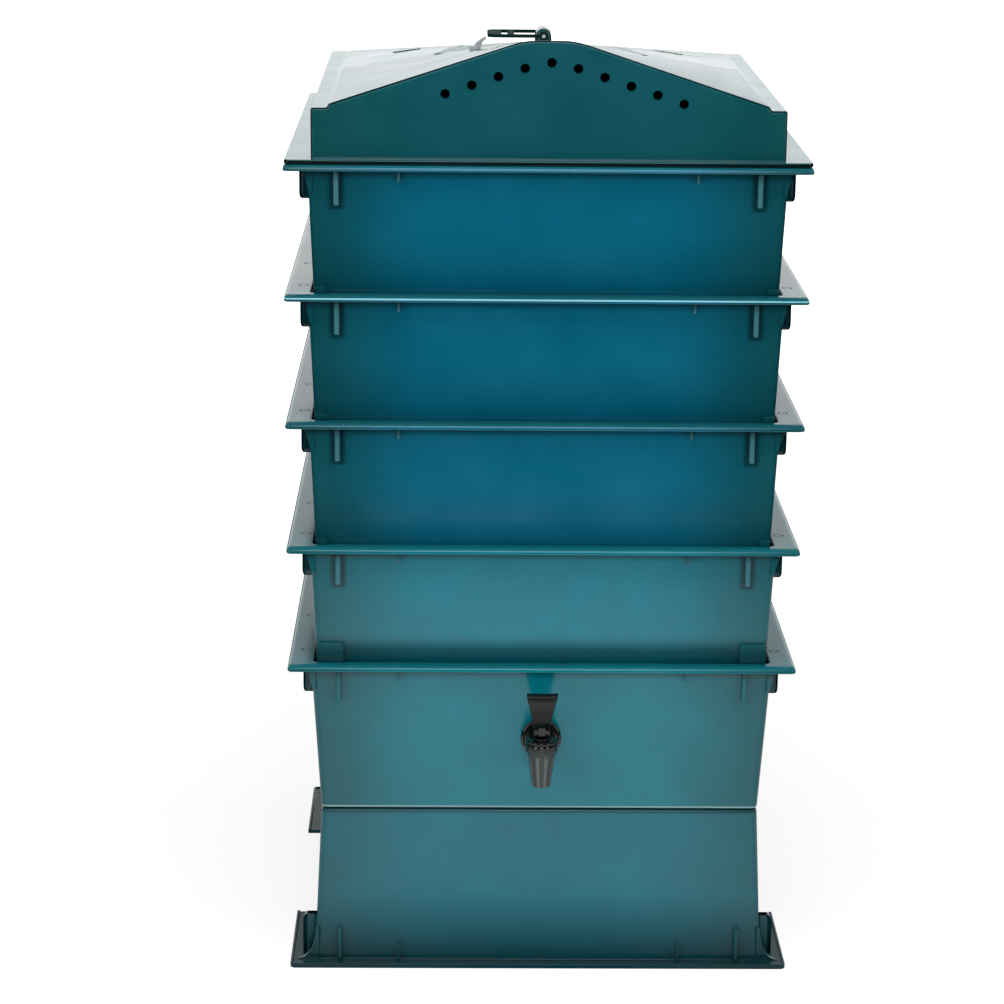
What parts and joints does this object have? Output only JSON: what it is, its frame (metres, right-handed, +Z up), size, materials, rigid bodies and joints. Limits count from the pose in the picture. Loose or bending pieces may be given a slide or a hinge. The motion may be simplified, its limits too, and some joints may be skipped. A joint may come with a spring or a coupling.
{
  "type": "wormery",
  "caption": "Square stacking worm composter on an arched stand, with a tapped collector, nesting perforated trays and a vented gabled lid with a lift loop.",
  "frame": {"origin": "centre of the bounding box's underside, at ground level, tap included", "axes": "+X to the right, -Y to the front (the tap's side), +Z up"},
  "size_m": [0.39, 0.4154, 0.7253],
  "materials": {
    "teal_moulding": "injection-moulded polypropylene, satin, deep teal",
    "dark_moulding": "injection-moulded polypropylene, satin, very dark green",
    "grey_moulding": "moulded, pale grey",
    "tap_black": "moulded ABS, glossy black",
    "seal_rubber": "moulded rubber, dull black",
    "steel": "plain steel pin or screw"
  },
  "bodies": {
    "stand_body": {"stand": "teal_moulding"},
    "collector_body": {"collector_tray": "teal_moulding", "worm_ladder": "teal_moulding", "tap_body": "tap_black", "tap_bonnet": "tap_black", "tap_nut": "tap_black", "tap_outer_gasket": "seal_rubber", "tap_inner_gasket": "seal_rubber"},
    "tap_stem_body": {"tap_stem": "tap_black", "tap_seat_cup": "seal_rubber", "tap_lever_pin": "steel"},
    "tap_lever_body": {"tap_lever": "tap_black"},
    "tray_4_body": {"tray_4": "teal_moulding"},
    "tray_3_body": {"tray_3": "teal_moulding"},
    "tray_2_body": {"tray_2": "teal_moulding"},
    "tray_1_body": {"tray_1": "teal_moulding"},
    "lid_body": {"lid": "teal_moulding", "handle_boss": "teal_moulding", "handle_pin": "steel", "handle_screw": "steel", "handle_clip": "grey_moulding"},
    "loop_body": {"handle_loop": "dark_moulding"}
  },
  "joints": [
    {"name": "collector_lift", "type": "slide", "parent": "stand_body", "child": "collector_body", "axis": [0, 0, 1], "range_m": [0, 0.012]},
    {"name": "tray_4_lift", "type": "slide", "parent": "collector_body", "child": "tray_4_body", "axis": [0, 0, 1], "range_m": [0, 0.03]},
    {"name": "tray_3_lift", "type": "slide", "parent": "tray_4_body", "child": "tray_3_body", "axis": [0, 0, 1], "range_m": [0, 0.03]},
    {"name": "tray_2_lift", "type": "slide", "parent": "tray_3_body", "child": "tray_2_body", "axis": [0, 0, 1], "range_m": [0, 0.03]},
    {"name": "tray_1_lift", "type": "slide", "parent": "tray_2_body", "child": "tray_1_body", "axis": [0, 0, 1], "range_m": [0, 0.03]},
    {"name": "lid_lift", "type": "slide", "parent": "tray_1_body", "child": "lid_body", "axis": [0, 0, 1], "range_m": [0, 0.02]},
    {"name": "loop_flip", "type": "hinge", "parent": "lid_body", "child": "loop_body", "pos_m": [0, 0.0127, 0.7105], "axis": [0, 1, 0], "range_deg": [0, 95]},
    {"name": "tap_stem_lift", "type": "slide", "parent": "collector_body", "child": "tap_stem_body", "axis": [0, 0, 1], "range_m": [0, 0.003]},
    {"name": "tap_lever_tilt", "type": "hinge", "parent": "tap_stem_body", "child": "tap_lever_body", "pos_m": [0, -0.1955, 0.203], "axis": [1, 0, 0], "range_deg": [0, 50]}
  ],
  "couplings": [
    {"joint": "tap_stem_lift", "follows": "tap_lever_tilt", "m_per_rad": 0.0034}
  ]
}
